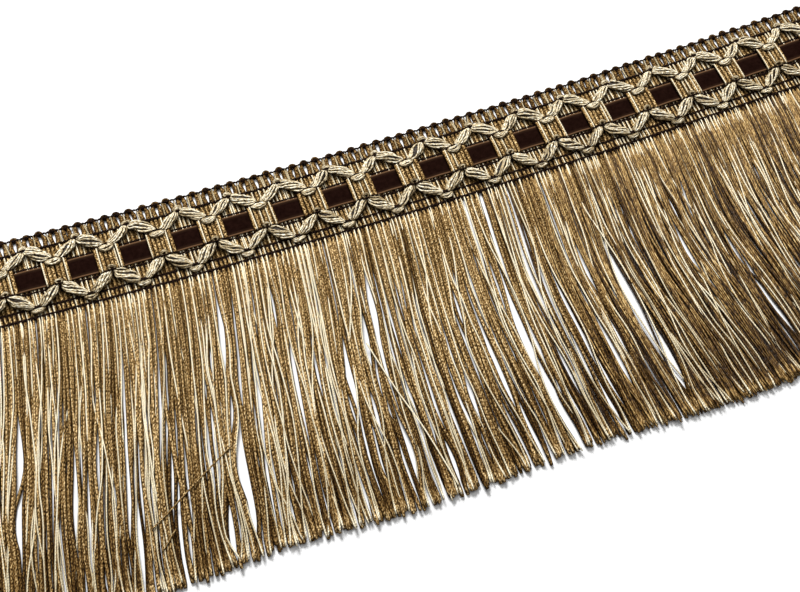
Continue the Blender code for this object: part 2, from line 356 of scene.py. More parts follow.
def weft_paths(x, y, lift):
    """The middle line of each weft at x, over the places y, raised by lift.

    It wanders a little: by a shift of its own, and by a sine wave with a phase of its own.
    """
    shift = chance.normal(0, WEFT_WANDER, (len(x), 1))
    wander = shift + WEFT_WANDER * np.sin(y / WEFT_WAVE + chance.uniform(0, FULL_TURN, (len(x), 1)))
    across = drawn_in(x[:, None], y) + wander
    height = weft_height(x[:, None], y) + lift
    return np.stack([across, y + bow(x[:, None]), height], axis=-1)


def toned(paths, spread, level=1.0):
    """How light each yarn is: the level, times a number about 1 that differs from yarn to yarn."""
    return chance.normal(1, spread, (paths, 1)).clip(0.25, 1.6) * level


def laid(name, centres, half_width, half_height, sides, material, tone=1.0, gloom=0.0, shifted=False):
    """One piece of yarns with an oval section along the centres, as light and as shaded as told.

    Yarns that are shifted start at different places in their twist, so that no two neighbours match.
    """
    corners, length = carried(centres, half_width, half_height, sides)
    start = chance.uniform(0, REPEAT, len(centres)) if shifted else None
    return yarns(name, corners, length, material, {"tone": tone, "gloom": gloom}, start)


# Where it crosses the ribbon the weft lies flatter: its half width there is the yarn's times the first
# number, and beyond the bars' feet that number is less by the second.
WIDER_ON_BAR = 1.22
BEYOND_BAR = 0.17

weft_width = YARN_HALF_WIDTH * (WIDER_ON_BAR - BEYOND_BAR * ease(np.abs(weft_y), BAR_SHOULDER, BAR_FOOT))
ground_weft = laid(
    "ground_weft",
    weft_paths(pass_x, weft_y, 0),
    weft_width,
    YARN_HALF_HEIGHT,
    6,
    tan_yarn,
    tone=toned(len(pass_x), 0.12, 0.9),
    shifted=True,
)
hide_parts("heading_ground")

# The same yarns' return passes lie below in the grooves, where little light reaches them.
UNDER_HEIGHT = 0.26 * MM
UNDER_HALF_WIDTH = 0.52 * MM
UNDER_HALF_HEIGHT = 0.22 * MM
UNDER_GLOOM = 0.85

groove_x = -HALF_LENGTH + np.arange(1, REPEATS * PASSES_PER_REPEAT) * PASS_STEP
under_centres = weft_paths(groove_x, np.linspace(-13.2, 10.4, 12) * MM, 0)
under_centres[..., 2] = UNDER_HEIGHT
under_weft = laid(
    "under_weft",
    under_centres,
    UNDER_HALF_WIDTH,
    UNDER_HALF_HEIGHT,
    6,
    tan_yarn,
    tone=toned(len(groove_x), 0.1),
    gloom=UNDER_GLOOM,
    shifted=True,
)
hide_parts("heading_ground")

# ---------------------------------------------------------------------------------------------------------
# Picot loops. At the top edge the same tan yarn turns back on itself, 4 loops to a repeat. Two legs of a
# loop stand apart, so the band between the top two dark lines is a ladder with a slit in each loop.

EDGE_LINE = 15.5 * MM
UPPER_TIE_LINE = 10.6 * MM
LOOPS = REPEATS * 4
LOOP_STEP = REPEAT / 4
FOOT_SPREAD = 0.85 * MM
LEG_SPREAD = 1.18 * MM
LOOP_RADIUS = 0.95 * MM
LOOP_YARN = 0.46 * MM
LEG_YARN = 0.76 * MM
# A leg has spread at the first line, and closes in to the loop's radius from the second up.
LEG_SPREAD_LINE = UPPER_TIE_LINE + 3.2 * MM
LEG_CLOSING_LINE = EDGE_LINE - 1.8 * MM
SLIT_TOP = 14 * MM
LOOP_TILT = 0.16 * MM
LOOP_STRETCH = 0.14
LOOP_LIFT = 0.15 * MM

loop_x = -HALF_LENGTH + (np.arange(LOOPS) + 0.5) * LOOP_STEP


def loop_paths(x):
    """Up one leg, half round the loop and down the other leg: legs that spread, and a half circle.

    closing draws a pair of legs together below SLIT_TOP, tilt leans the loop to one side, and taller makes
    its half circle higher or lower, each a little and by chance.
    """
    leg_y = np.linspace(UPPER_TIE_LINE, EDGE_LINE, 13)
    leg_x = FOOT_SPREAD + (LEG_SPREAD - FOOT_SPREAD) * ease(leg_y, UPPER_TIE_LINE, LEG_SPREAD_LINE)
    leg_x = leg_x + (LOOP_RADIUS - LEG_SPREAD) * ease(leg_y, LEG_CLOSING_LINE, EDGE_LINE)
    turn = np.linspace(np.pi, 0, 11)[1:-1]
    across = np.concatenate([-leg_x, LOOP_RADIUS * np.cos(turn), leg_x[::-1]])
    up = np.concatenate([leg_y, EDGE_LINE + LOOP_RADIUS * np.sin(turn), leg_y[::-1]])
    closing = chance.normal(0.93, 0.1, (len(x), 1)).clip(0.7, 1.02)
    across = across * (closing + (1 - closing) * ease(up, SLIT_TOP, EDGE_LINE))
    beyond = ease(up, UPPER_TIE_LINE + 2 * MM, EDGE_LINE + LOOP_RADIUS)
    tilt = chance.normal(0, LOOP_TILT, (len(x), 1)) * beyond
    taller = 1 + chance.normal(0, LOOP_STRETCH, (len(x), 1)) * ease(up, EDGE_LINE, EDGE_LINE + 0.3 * MM)
    tall = np.where(up > EDGE_LINE, EDGE_LINE + (up - EDGE_LINE) * taller, up)
    height = np.broadcast_to(YARN_REST_HEIGHT + LOOP_LIFT * beyond, tilt.shape)
    return np.stack([x[:, None] + across + tilt, tall + bow(x[:, None]), height], axis=-1)


loop_centres = loop_paths(loop_x)
loop_y = loop_centres[..., 1] - bow(loop_x[:, None])
loop_width = LEG_YARN + (LOOP_YARN - LEG_YARN) * ease(loop_y, EDGE_LINE - 1.5 * MM, EDGE_LINE)
# The loops' low tone and loop_gloom are painted shade: darker than the ground weft, and darker still towards
# their tops.
loop_gloom = ease(loop_y, EDGE_LINE - 1.4 * MM, EDGE_LINE + 0.2 * MM)
picot_loops = laid(
    "picot_loops",
    loop_centres,
    loop_width,
    YARN_HALF_HEIGHT,
    8,
    tan_yarn,
    tone=toned(LOOPS, 0.14, 0.46),
    gloom=loop_gloom * chance.uniform(0.6, 0.95, (LOOPS, 1)),
    shifted=True,
)
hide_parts("heading_ground")

# ---------------------------------------------------------------------------------------------------------
# Cream weft. A thinner, silky cream thread runs in with about three passes in five. It lies on the shoulder
# of the tan yarn, and in the ladder it stands between the loops.

CREAM_RADIUS = 0.26 * MM
CREAM_LIFT = 0.34 * MM
CREAM_SHARE = 0.70

cream_yarn = twisted(
    "cream_silk_thread",
    light=srgb(255, 250, 228),
    body=srgb(255, 242, 208),
    dark=srgb(184, 150, 94),
    ply_length=0.8,
    plies=2,
    lay=0.2,
    fleck=0.9,
    stretch=4.0,
    roundness=0.7,
    roughness=0.45,
    shine=0.2,
)

# Fewer threads run in at the middle of a bar, and every other pass is likelier to have one than the next.
MID_BAR = 0.14
MID_BAR_SHARE = 0.3
EVERY_OTHER = 0.24
CREAM_OFFSET = 0.3 * MM
CREAM_SCATTER = 0.08 * MM

cream_chance = np.where(np.abs(bar_phase(pass_x)) < MID_BAR, MID_BAR_SHARE, CREAM_SHARE)
cream_chance = cream_chance + np.where(np.arange(len(pass_x)) % 2, EVERY_OTHER, -EVERY_OTHER)
cream_x = pass_x[chance.random(len(pass_x)) < cream_chance]
cream_side = chance.choice([-1, 1], len(cream_x))
cream_x = cream_x + cream_side * chance.normal(CREAM_OFFSET, CREAM_SCATTER, len(cream_x))
cream_weft = laid(
    "cream_weft",
    weft_paths(cream_x, weft_y, CREAM_LIFT),
    CREAM_RADIUS,
    CREAM_RADIUS,
    6,
    cream_yarn,
    tone=toned(len(cream_x), 0.1, 0.9),
    shifted=True,
)
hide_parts("heading_ground")

# In the ladder one cream thread stands between each loop and the next, and often a second leans across it.
CROSSING_SHARE = 0.55
BETWEEN_LIFT = 0.1 * MM
BETWEEN_TILT = 0.12 * MM
CROSSING_TILT = 0.42 * MM
FOOT_SCATTER = 0.2 * MM
LADDER_SHADE_LINE = 13.6 * MM

between_x = loop_x[:-1] + LOOP_STEP / 2
crossing_x = between_x[chance.random(len(between_x)) < CROSSING_SHARE]
betweens, crossings = len(between_x), len(crossing_x)
ladder_x = np.concatenate([between_x, crossing_x])[:, None]
ladder_height = YARN_REST_HEIGHT + np.repeat([BETWEEN_LIFT, CREAM_LIFT], [betweens, crossings])[:, None]
ladder_tilt = np.concatenate(
    [chance.normal(0, BETWEEN_TILT, betweens), chance.normal(0, CROSSING_TILT, crossings)]
)[:, None]
ladder_foot = chance.normal(0, FOOT_SCATTER, ladder_x.shape)
ladder_share = np.linspace(0, 1, 12)
ladder_y = UPPER_TIE_LINE + (EDGE_LINE - UPPER_TIE_LINE) * ladder_share
ladder_across = ladder_x + ladder_foot + (ladder_tilt - ladder_foot) * ladder_share
ladder_height = np.broadcast_to(ladder_height, ladder_across.shape)
# The ladder's threads carry painted shade, deepening from LADDER_SHADE_LINE up to the edge.
cream_ladder = laid(
    "cream_ladder",
    np.stack([ladder_across, ladder_y + bow(ladder_x), ladder_height], axis=-1),
    CREAM_RADIUS,
    CREAM_RADIUS,
    6,
    cream_yarn,
    tone=toned(betweens + crossings, 0.15, 0.62),
    gloom=0.1 + 0.5 * ease(ladder_y, LADDER_SHADE_LINE, EDGE_LINE),
    shifted=True,
)
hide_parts("heading_ground")

# ---------------------------------------------------------------------------------------------------------
# Ribbon. A dull dark brown woven ribbon, 7.3 mm wide, laced under the bars. It puffs up a little in each
# window, and its two selvedges are a raised cord, paler partly in their own colour and partly by painted
# sheen.

RIBBON_HALF_WIDTH = 3.65 * MM
RIBBON_BASE = 1.22 * MM
RIBBON_HALF_THICKNESS = 0.14 * MM
RIBBON_PUFF = 0.28 * MM
SELVEDGE_WIDTH = 0.5 * MM
SELVEDGE_SWELL = 0.7
EDGE_THINNING = 0.7
EDGE_THINNING_FROM = 0.97 * RIBBON_HALF_WIDTH
WINDOW_REACH = 0.3
RIPPLE = 0.04 * MM
RIPPLE_LENGTH = 1.7 * MM
RIPPLE_CHANGE = 9 * MM

ribbon_x = np.linspace(-HALF_LENGTH, HALF_LENGTH, REPEATS * 20 + 1)
ribbon_across = RIBBON_HALF_WIDTH * np.array(
    [1.0, 0.98, 0.93, 0.88, 0.84, 0.6, 0.3, 0, -0.3, -0.6, -0.84, -0.88, -0.93, -0.98, -1.0]
)


def ribbon_surface(side):
    """The ribbon's upper or lower face: level, with a puff in each window, and a swollen selvedge.

    The puff falls off by an eased step from the middle of the window to its bars, and as 1 - y^2 / 2 with y
    from -1 to 1 across the ribbon. A ripple of a sine whose phase itself swings as a sine runs along it. Its
    very edges are thinned by an eased step.
    """
    x, y = np.meshgrid(ribbon_x, ribbon_across, indexing="ij")
    in_window = 1 - ease(np.abs(np.abs(bar_phase(x)) - 0.5), 0.0, WINDOW_REACH)
    puff = RIBBON_PUFF * in_window * (1 - 0.5 * (y / RIBBON_HALF_WIDTH) ** 2)
    edge = ease(np.abs(y), RIBBON_HALF_WIDTH - SELVEDGE_WIDTH, RIBBON_HALF_WIDTH - 0.5 * SELVEDGE_WIDTH)
    rounded = 1 - EDGE_THINNING * ease(np.abs(y), EDGE_THINNING_FROM, RIBBON_HALF_WIDTH)
    half = RIBBON_HALF_THICKNESS * (1 + SELVEDGE_SWELL * edge) * rounded
    ripple = RIPPLE * np.sin(x / RIPPLE_LENGTH + 2 * np.sin(x / RIPPLE_CHANGE))
    return np.stack([x, y + bow(x), RIBBON_BASE + puff + ripple + side * half], axis=-1)


ribbon_rings = np.concatenate([ribbon_surface(1), ribbon_surface(-1)[:, ::-1]], axis=1)
ribbon_places = np.concatenate([[0], np.cumsum(np.diff(ribbon_x))])

ribbon_look = Look("brown_ribbon", Roughness=0.8, Specular_IOR_Level=0.0)
ribbon_spot = ribbon_look.add("ShaderNodeTexCoord", None, None, "Object")
selvedge_sheen = ribbon_look.add("ShaderNodeAttribute", {"attribute_name": "selvedge"}, None, "Fac")
ribbon_ribs = ribbon_look.add(
    "ShaderNodeTexWave",
    {"wave_type": "BANDS", "bands_direction": "X", "wave_profile": "SIN"},
    {"Vector": ribbon_spot, "Scale": 560.0, "Distortion": 0.6, "Detail": 1.0},
)
ribbon_cloud = ribbon_look.add("ShaderNodeTexNoise", None, {"Vector": ribbon_spot, "Scale": 900.0})
ribbon_mix = ribbon_look.add(
    "ShaderNodeMix",
    {"data_type": "RGBA"},
    {"Factor": ribbon_cloud, 6: (*srgb(12, 4, 3), 1), 7: (*srgb(36, 20, 15), 1)},
    2,
)
# The selvedges' paler colour is partly their own and partly painted sheen on the raised edge.
ribbon_colour = ribbon_look.add(
    "ShaderNodeMix",
    {"data_type": "RGBA"},
    {"Factor": selvedge_sheen, 6: ribbon_mix, 7: (*srgb(110, 82, 58), 1)},
    2,
)
ribbon_bump = ribbon_look.add(
    "ShaderNodeBump", None, {"Strength": 0.6, "Distance": 0.05 * MM, "Height": ribbon_ribs}
)
ribbon_material = ribbon_look.finish(Base_Color=ribbon_colour, Normal=ribbon_bump)

laced_ribbon = yarns(
    "laced_ribbon", ribbon_rings[None], ribbon_places[None], ribbon_material, {"selvedge": 0.0}
)
selvedge_sheen_mask = ease(
    np.abs(np.concatenate([ribbon_across, ribbon_across[::-1]])),
    RIBBON_HALF_WIDTH - 1.3 * SELVEDGE_WIDTH,
    RIBBON_HALF_WIDTH - 0.6 * SELVEDGE_WIDTH,
)
laced_ribbon.data.attributes["selvedge"].data.foreach_set(
    "value", np.tile(selvedge_sheen_mask, len(ribbon_x)).astype(np.float32)
)
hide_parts("ribbon")

# ---------------------------------------------------------------------------------------------------------
# Warp. Dark brown sewing-weight threads run the length of the heading in six lines. In each line two
# threads cross between the weft passes. Where a gimp cord turns, the line lifts over it and ties it down.

UPPER_RIBBON_LINE = 4.35 * MM
LOWER_RIBBON_LINE = -4.45 * MM
LOWER_TIE_LINE = -9.9 * MM
ROOT_LINE = -13.0 * MM
WARP_RADIUS = 0.24 * MM
WARP_SWING = 0.17 * MM
WARP_RISE = 0.12 * MM
WARP_LIFT = YARN_HALF_HEIGHT + 0.06 * MM
WARP_WANDER = 0.1 * MM
WARP_WAVE = 11 * MM
WARP_PHASE = 90
TIE_LIFT_REACH = 1.8 * MM
TIE_DIP_REACH = 0.95 * MM
PLACES_PER_PASS = 4

dark_thread = twisted(
    "dark_warp_thread",
    light=srgb(58, 34, 20),
    body=srgb(24, 11, 5),
    dark=srgb(8, 3, 1),
    ply_length=0.9,
    plies=2,
    lay=0.25,
    fleck=0.9,
    stretch=1.0,
    roundness=1.0,
    roughness=0.8,
    shine=0.08,
)
warp_x = np.linspace(-HALF_LENGTH, HALF_LENGTH, REPEATS * PASSES_PER_REPEAT * PLACES_PER_PASS + 1)


def near_tie(x, tie_phase, reach):
    """1 at each tie of a line, falling off as exp(-(distance / reach)^2).

    The ties are at the bars if tie_phase is 0, and midway between them if it is 0.5.
    """
    away = (x / REPEAT - tie_phase - np.round(x / REPEAT - tie_phase)) * REPEAT
    return np.exp(-((away / reach) ** 2))


def warp_pair(line, tie_phase, dip, lift):
    """Two threads that swing across each other once a pass, and at each tie dip by dip and rise by lift.

    The swing is a sine across the heading, and a cosine of twice its pace in height. The pair also wanders
    along a long sine wave, with another phase in each line.
    """
    turn = 2 * np.pi * warp_x / PASS_STEP
    wave = WARP_WANDER * np.sin(warp_x / WARP_WAVE + WARP_PHASE * line / MM)
    middle = line + wave + dip * near_tie(warp_x, tie_phase, TIE_DIP_REACH)
    top = weft_height(warp_x, middle) + WARP_LIFT + lift * near_tie(warp_x, tie_phase, TIE_LIFT_REACH)
    paths = []
    for side in (1, -1):
        y = middle + side * WARP_SWING * np.sin(turn / 2) + bow(warp_x)
        z = top - WARP_RISE * np.cos(turn)
        paths.append(np.stack([warp_x, y, z], axis=-1))
    return np.array(paths)


def warp_line(name, line, tie_phase, dip, lift, node=None):
    """The pair of threads of one line, in place of its solid where it has one."""
    piece = laid(name, warp_pair(line, tie_phase, dip, lift), WARP_RADIUS, WARP_RADIUS, 4, dark_thread)
    if node:
        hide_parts(node)


warp_line("warp_edge", EDGE_LINE, 0, 0, 0, "warp_thread_edge")
warp_line("warp_upper_tie", UPPER_TIE_LINE, 0.5, -0.55 * MM, 1.25 * MM, "warp_thread_upper")
warp_line("warp_above_ribbon", UPPER_RIBBON_LINE, 0, 0.15 * MM, 1.0 * MM)
warp_line("warp_below_ribbon", LOWER_RIBBON_LINE, 0, -0.6 * MM, 1.0 * MM)
warp_line("warp_lower_tie", LOWER_TIE_LINE, 0.5, -0.2 * MM, 1.25 * MM, "warp_thread_lower")
warp_line("warp_root", ROOT_LINE, 0, 0, 0, "warp_thread_root")

# Rows of dark ticks, where the warp dives between two passes, which also stand in as painted shade in the
# grooves between the passes: each row's upper and lower end and height, in millimetres, how much its lower
# end narrows, and whether it runs on at the bars.
TICK_ROWS = (
    (11.1, 9.9, 0.82, 0.5, True),
    (4.9, 3.7, 0.82, 0.3, False),
    (-3.7, -5.9, 0.82, 0.6, False),
    (-9.7, -11.8, 0.82, 0.4, True),
    (-12.7, -14.9, 1.18, 0.7, True),
)
TICK_HALF_WIDTH = 0.33 * MM
TICK_HALF_HEIGHT = 0.2 * MM
TICK_DIVE = 0.15 * MM
TICK_END_SCATTER = 0.15 * MM
TICK_SCATTER = 0.05 * MM


def tick_row(upper, lower, height, narrowing, at_bars):
    """Short threads in the grooves between passes, straight in plan: (centres, half widths).

    With s from 0 to 1 down a thread, it sinks by TICK_DIVE * s^3 and narrows by its share of s^2.
    """
    x = groove_x if at_bars else groove_x[np.abs(bar_phase(groove_x)) > ON_BAR]
    share = np.linspace(0, 1, 6)
    end = lower * MM + chance.normal(0, TICK_END_SCATTER, (len(x), 1))
    y = upper * MM + (end - upper * MM) * share
    across = drawn_in(x[:, None], y) + chance.normal(0, TICK_SCATTER, (len(x), 1))
    z = height * MM - TICK_DIVE * share**3
    width = TICK_HALF_WIDTH * (1 - narrowing * share**2)
    centres = np.stack([across, y + bow(x[:, None]), np.broadcast_to(z, y.shape)], axis=-1)
    return centres, np.broadcast_to(width, y.shape)


tick_centres, tick_widths = (np.concatenate(parts) for parts in zip(*[tick_row(*row) for row in TICK_ROWS]))
# The ticks are partly the warp's dives and partly painted shade between the passes.
warp_ticks_and_groove_shade = laid("warp_ticks_and_groove_shade", tick_centres, tick_widths, TICK_HALF_HEIGHT, 5, dark_thread)

# The top line wraps each picot loop in a small knot that fills the loop's eye: an ellipsoid, whose section
# is as sqrt(1 - s^2) with s from -1 to 1 along the heading, cut off a little before its ends.
KNOT_RADIUS = 0.8 * MM
KNOT_HALF_HEIGHT = 0.42 * MM
KNOT_HEIGHT = 0.56 * MM
KNOT_LINE = EDGE_LINE + 0.05 * MM
KNOT_CUT = 0.96
KNOT_SCATTER_ALONG = 0.08 * MM
KNOT_SCATTER_ACROSS = 0.12 * MM

knot_share = np.linspace(-KNOT_CUT, KNOT_CUT, 9)
knot_round = np.sqrt(1 - knot_share**2)
knot_x = loop_x[:, None] + chance.normal(0, KNOT_SCATTER_ALONG, (LOOPS, 1)) + KNOT_RADIUS * knot_share
knot_y = KNOT_LINE + chance.normal(0, KNOT_SCATTER_ACROSS, (LOOPS, 1)) + bow(knot_x)
picot_knots = laid(
    "picot_knots",
    np.stack([knot_x, knot_y, np.full_like(knot_x, KNOT_HEIGHT)], axis=-1),
    KNOT_RADIUS * knot_round * chance.uniform(0.85, 1.15, (LOOPS, 1)),
    KNOT_HALF_HEIGHT * knot_round,
    8,
    dark_thread,
    tone=toned(LOOPS, 0.25, 2.6),
)

# ---------------------------------------------------------------------------------------------------------
# Gimp. Two soft cream cords of loose filaments zig-zag along the heading. Each is drawn in where a warp
# line ties it, swells into a leaf between two ties, and turns back in a small loop beyond each tie.

FILAMENTS = 9
WINDING = 4.2 * MM
NECK_SPREAD = 0.25 * MM
LEAF_SPREAD = 0.8 * MM
# A filament swings round the cord by the first, in radians, and in and out of it by the third, as a share.
SWING_ROUND = 0.25
SWING_ROUND_LENGTH = 2.6 * MM
SWING_OUT = 0.14
SWING_OUT_LENGTH = 2.3 * MM
# Painted shade on the cord's underside and in its necks.
UNDERSIDE_SHADE = 0.8
NECK_SHADE = 0.9
# A filament's half width and half height, as shares of the tables' radius.
FILAMENT_WIDTH = 1.12
FILAMENT_HEIGHT = 1.05
# The core's, as shares of the tables' half spread and half depth.
CORE_WIDTH = 0.95
CORE_HEIGHT = 0.9
# How uneven the tables' rows are made: their places in millimetres, and their half spread as a share.
ROW_SCATTER = 0.1
SPREAD_SCATTER = 0.09
# One repeat of each cord, with x from the middle of a bar.
# Columns: x, y, height, half spread, half depth and filament radius, in millimetres.
UPPER_WAVE = (
    (-8.00, 11.80, 1.45, 0.50, 0.24, 0.27),
    (-7.00, 11.30, 1.45, 0.36, 0.22, 0.26),
    (-7.45, 10.40, 1.60, 0.24, 0.22, 0.21),
    (-6.95, 9.85, 1.85, 1.25, 0.48, 0.28),
    (-5.70, 9.10, 2.00, 1.55, 0.62, 0.31),
    (-4.00, 7.75, 2.05, 1.58, 0.64, 0.32),
    (-2.40, 6.50, 2.05, 1.42, 0.58, 0.31),
    (-1.35, 5.70, 2.25, 1.05, 0.46, 0.28),
    (-0.75, 4.75, 2.75, 0.26, 0.24, 0.22),
    (-2.00, 3.45, 3.05, 0.34, 0.26, 0.24),
    (-1.05, 3.20, 3.20, 0.78, 0.36, 0.27),
    (0.00, 3.15, 3.25, 0.92, 0.38, 0.28),
    (1.05, 3.30, 3.20, 0.78, 0.36, 0.27),
    (2.00, 3.65, 3.05, 0.34, 0.26, 0.24),
    (0.85, 4.75, 2.75, 0.26, 0.24, 0.22),
    (1.75, 5.20, 2.30, 0.80, 0.40, 0.27),
    (3.10, 6.10, 2.05, 1.18, 0.52, 0.30),
    (4.70, 7.25, 2.00, 1.32, 0.58, 0.31),
    (6.15, 8.50, 1.90, 1.18, 0.50, 0.30),
    (7.10, 9.55, 1.75, 0.70, 0.36, 0.27),
    (7.45, 10.40, 1.60, 0.24, 0.22, 0.21),
    (7.00, 11.30, 1.45, 0.36, 0.22, 0.26),
)
LOWER_WAVE = (
    (-8.00, -11.35, 1.60, 0.85, 0.36, 0.28),
    (-7.10, -11.30, 1.58, 0.70, 0.34, 0.27),
    (-6.20, -11.10, 1.52, 0.34, 0.26, 0.24),
    (-7.35, -10.35, 1.65, 0.24, 0.24, 0.22),
    (-6.40, -9.55, 1.85, 0.92, 0.42, 0.28),
    (-5.00, -8.35, 1.95, 1.28, 0.56, 0.31),
    (-3.40, -7.00, 2.00, 1.42, 0.60, 0.32),
    (-1.90, -5.90, 2.05, 1.20, 0.52, 0.30),
    (-0.95, -5.20, 2.25, 0.62, 0.36, 0.25),
    (-0.45, -4.60, 2.60, 0.22, 0.22, 0.20),
    (-0.95, -3.85, 3.00, 0.30, 0.20, 0.22),
    (0.00, -3.35, 3.10, 0.36, 0.20, 0.22),
    (0.95, -3.85, 3.00, 0.30, 0.20, 0.22),
    (0.45, -4.60, 2.60, 0.22, 0.22, 0.20),
    (0.95, -5.15, 2.25, 0.90, 0.40, 0.28),
    (1.75, -5.90, 2.05, 1.38, 0.56, 0.31),
    (3.00, -7.05, 2.00, 1.56, 0.64, 0.32),
    (4.40, -8.25, 1.95, 1.50, 0.62, 0.32),
    (5.70, -9.25, 1.85, 1.18, 0.52, 0.30),
    (6.80, -9.95, 1.75, 0.60, 0.34, 0.26),
    (7.40, -10.45, 1.60, 0.26, 0.24, 0.22),
    (6.20, -11.20, 1.52, 0.34, 0.26, 0.24),
    (7.10, -11.35, 1.58, 0.70, 0.34, 0.27),
)


def smooth(rows, per_span):
    """Places on the curve through the rows: cubic spans that leave each row along the line past it.

    Each span from b to c, with neighbours a and d, is the Catmull-Rom cubic of the share s of the way.
    """
    padded = np.concatenate([2 * rows[:1] - rows[1:2], rows, 2 * rows[-1:] - rows[-2:-1]])
    a, b, c, d = padded[:-3], padded[1:-2], padded[2:-1], padded[3:]
    s = (np.arange(per_span) / per_span)[None, :, None]
    a, b, c, d = (part[:, None] for part in (a, b, c, d))
    curve = b + 0.5 * s * (c - a + s * (2 * a - 5 * b + 4 * c - d + s * (3 * (b - c) + d - a)))
    return np.concatenate([curve.reshape(-1, rows.shape[1]), rows[-1:]])


def gimp_rows(wave):
    """The control rows of a whole cord: the table's repeat again and again, each row a little uneven."""
    table = np.array(wave)
    rows = np.tile(table, (REPEATS, 1, 1))
    rows[..., 0] += ((np.arange(REPEATS) + 0.5) * REPEAT - HALF_LENGTH)[:, None] / MM
    rows[..., :2] += chance.normal(0, ROW_SCATTER, rows.shape[:2] + (2,))
    rows[..., 3] *= chance.normal(1, SPREAD_SCATTER, rows.shape[:2])
    last = table[:1] + np.array([[(HALF_LENGTH + REPEAT / 2) / MM, 0, 0, 0, 0, 0]])
    return np.concatenate([rows.reshape(-1, table.shape[1]), last])


gimp_yarn = twisted(
    "cream_gimp_filament",
    light=srgb(255, 252, 234),
    body=srgb(236, 214, 168),
    dark=srgb(62, 38, 14),
    ply_length=2.6,
    plies=2,
    lay=0.1,
    fleck=4.2,
    stretch=3.0,
    roundness=0.8,
    roughness=0.5,
    shine=0.15,
)


def gimp_cord(name, wave, node):
    """Filaments wound loosely round a flat cord: each lies at spread * cos(a) across and depth * sin(a) up.

    A core, a little smaller than the cord, fills the middle, painted dark as the shade between the filaments.
    The filaments carry painted shade at the cord's lower side, and in its necks. Each swings a little round
    the cord and in and out of it, along two sines.
    """
    x, y, z, spread, depth, radius = (smooth(gimp_rows(wave), 2) * MM).T
    middle = np.stack([x, y + bow(x), z], axis=-1)
    along = np.gradient(middle, axis=0)
    along /= np.linalg.norm(along, axis=1, keepdims=True)
    side = np.cross(along, (0, 0, 1))
    side /= np.linalg.norm(side, axis=1, keepdims=True)
    travelled = np.concatenate([[0], np.cumsum(np.linalg.norm(np.diff(middle, axis=0), axis=1))])
    necks = 1 - ease(spread, NECK_SPREAD, LEAF_SPREAD)
    paths, shaded = [], []
    for i in range(FILAMENTS):
        angle = 2 * np.pi * i / FILAMENTS + travelled / WINDING
        angle = angle + SWING_ROUND * np.sin(travelled / SWING_ROUND_LENGTH + chance.uniform(0, FULL_TURN))
        uneven = 1 + SWING_OUT * np.sin(travelled / SWING_OUT_LENGTH + chance.uniform(0, FULL_TURN))
        across = (spread * uneven * np.cos(angle))[:, None] * side
        up = (depth * uneven * np.sin(angle))[:, None] * np.array([0, 0, 1])
        paths.append(middle + across + up)
        # Painted shade: darker on the cord's lower side and in its necks.
        shaded.append(0.5 - UNDERSIDE_SHADE * np.sin(angle) + NECK_SHADE * necks)
    tone, gloom = toned(FILAMENTS, 0.3), np.clip(shaded, 0, 1)
    width, height = FILAMENT_WIDTH * radius, FILAMENT_HEIGHT * radius
    cord = laid(name, np.array(paths), width, height, 5, gimp_yarn, tone, gloom, shifted=True)
    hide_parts(node)
    width, height = CORE_WIDTH * spread, CORE_HEIGHT * depth
    # The core's low tone and gloom paint it dark, as the shade between the filaments.
    core = laid(name + "_core", middle[None], width, height, 6, gimp_yarn, tone=0.1, gloom=0.9)
    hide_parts(node)


gimp_cord("gimp_cord_upper", UPPER_WAVE, "gimp_upper")
gimp_cord("gimp_cord_lower", LOWER_WAVE, "gimp_lower")

# Each tie is a dark thread over the cord's two necks, and at two of the four its end drops between leaves.
TIE_HALF_WIDTH = 0.27 * MM
TIE_HALF_HEIGHT = 0.24 * MM
TIE_SCATTER = 0.08 * MM
DROP_SCATTER = 0.12 * MM
# Columns: place within the repeat, line across the heading, height over the necks, height at its feet, half
# reach along the heading, in millimetres.
TIES = (
    (0.5, 10.45, 2.25, 1.3, 1.5),
    (0.0, 4.45, 3.5, 2.6, 1.9),
    (0.0, -4.75, 3.15, 2.5, 1.3),
    (0.5, -10.45, 2.3, 1.4, 1.6),
)
# Columns: place within the repeat, upper end, lower end, height at each end in millimetres.
TIE_DROPS = (
    (0.5, 10.4, 8.9, 2.2, 1.2),
    (0.0, -4.9, -6.4, 2.9, 1.2),
)


def tie_places(place):
    """Where the ties at a place within the repeat lie along the heading."""
    first = REPEAT * (0.5 if place == 0 else 1)
    return np.arange(first, HALF_LENGTH * 2 - REPEAT / 4, REPEAT) - HALF_LENGTH


def tie_arcs(place, line, high, low, reach):
    """A thread over the necks at each tie: its height falls as cos(pi / 2 * share of the reach)^0.6."""
    ties = tie_places(place)
    share = np.linspace(-1, 1, 11)
    x = ties[:, None] + reach * MM * share
    y = line * MM + chance.normal(0, TIE_SCATTER, (len(ties), 1)) + bow(x)
    z = np.broadcast_to(low * MM + (high - low) * MM * np.cos(share * np.pi / 2) ** 0.6, x.shape)
    return np.stack([x, y, z], axis=-1)


def tie_drops(place, upper, lower, high, low):
    """Short threads straight down from each tie, from one height to the other as the share of the way."""
    ties = tie_places(place)
    share = np.linspace(0, 1, 11)
    x = ties[:, None] + DROP_SCATTER * share * chance.normal(0, 1, (len(ties), 1))
    y = (upper + (lower - upper) * share) * MM + bow(x)
    z = np.broadcast_to((high + (low - high) * share) * MM, x.shape)
    return np.stack([x, y, z], axis=-1)


tie_centres = np.concatenate([tie_arcs(*row) for row in TIES] + [tie_drops(*row) for row in TIE_DROPS])
gimp_ties = laid("gimp_ties", tie_centres, TIE_HALF_WIDTH, TIE_HALF_HEIGHT, 6, dark_thread)

# ---------------------------------------------------------------------------------------------------------
# Fringe. The weft's ends hang on below the heading as cut strands 91 mm long: three layers of tan crepe
# yarn, with the silky cream threads among them. They lean to the left at the left end, and part and cross.

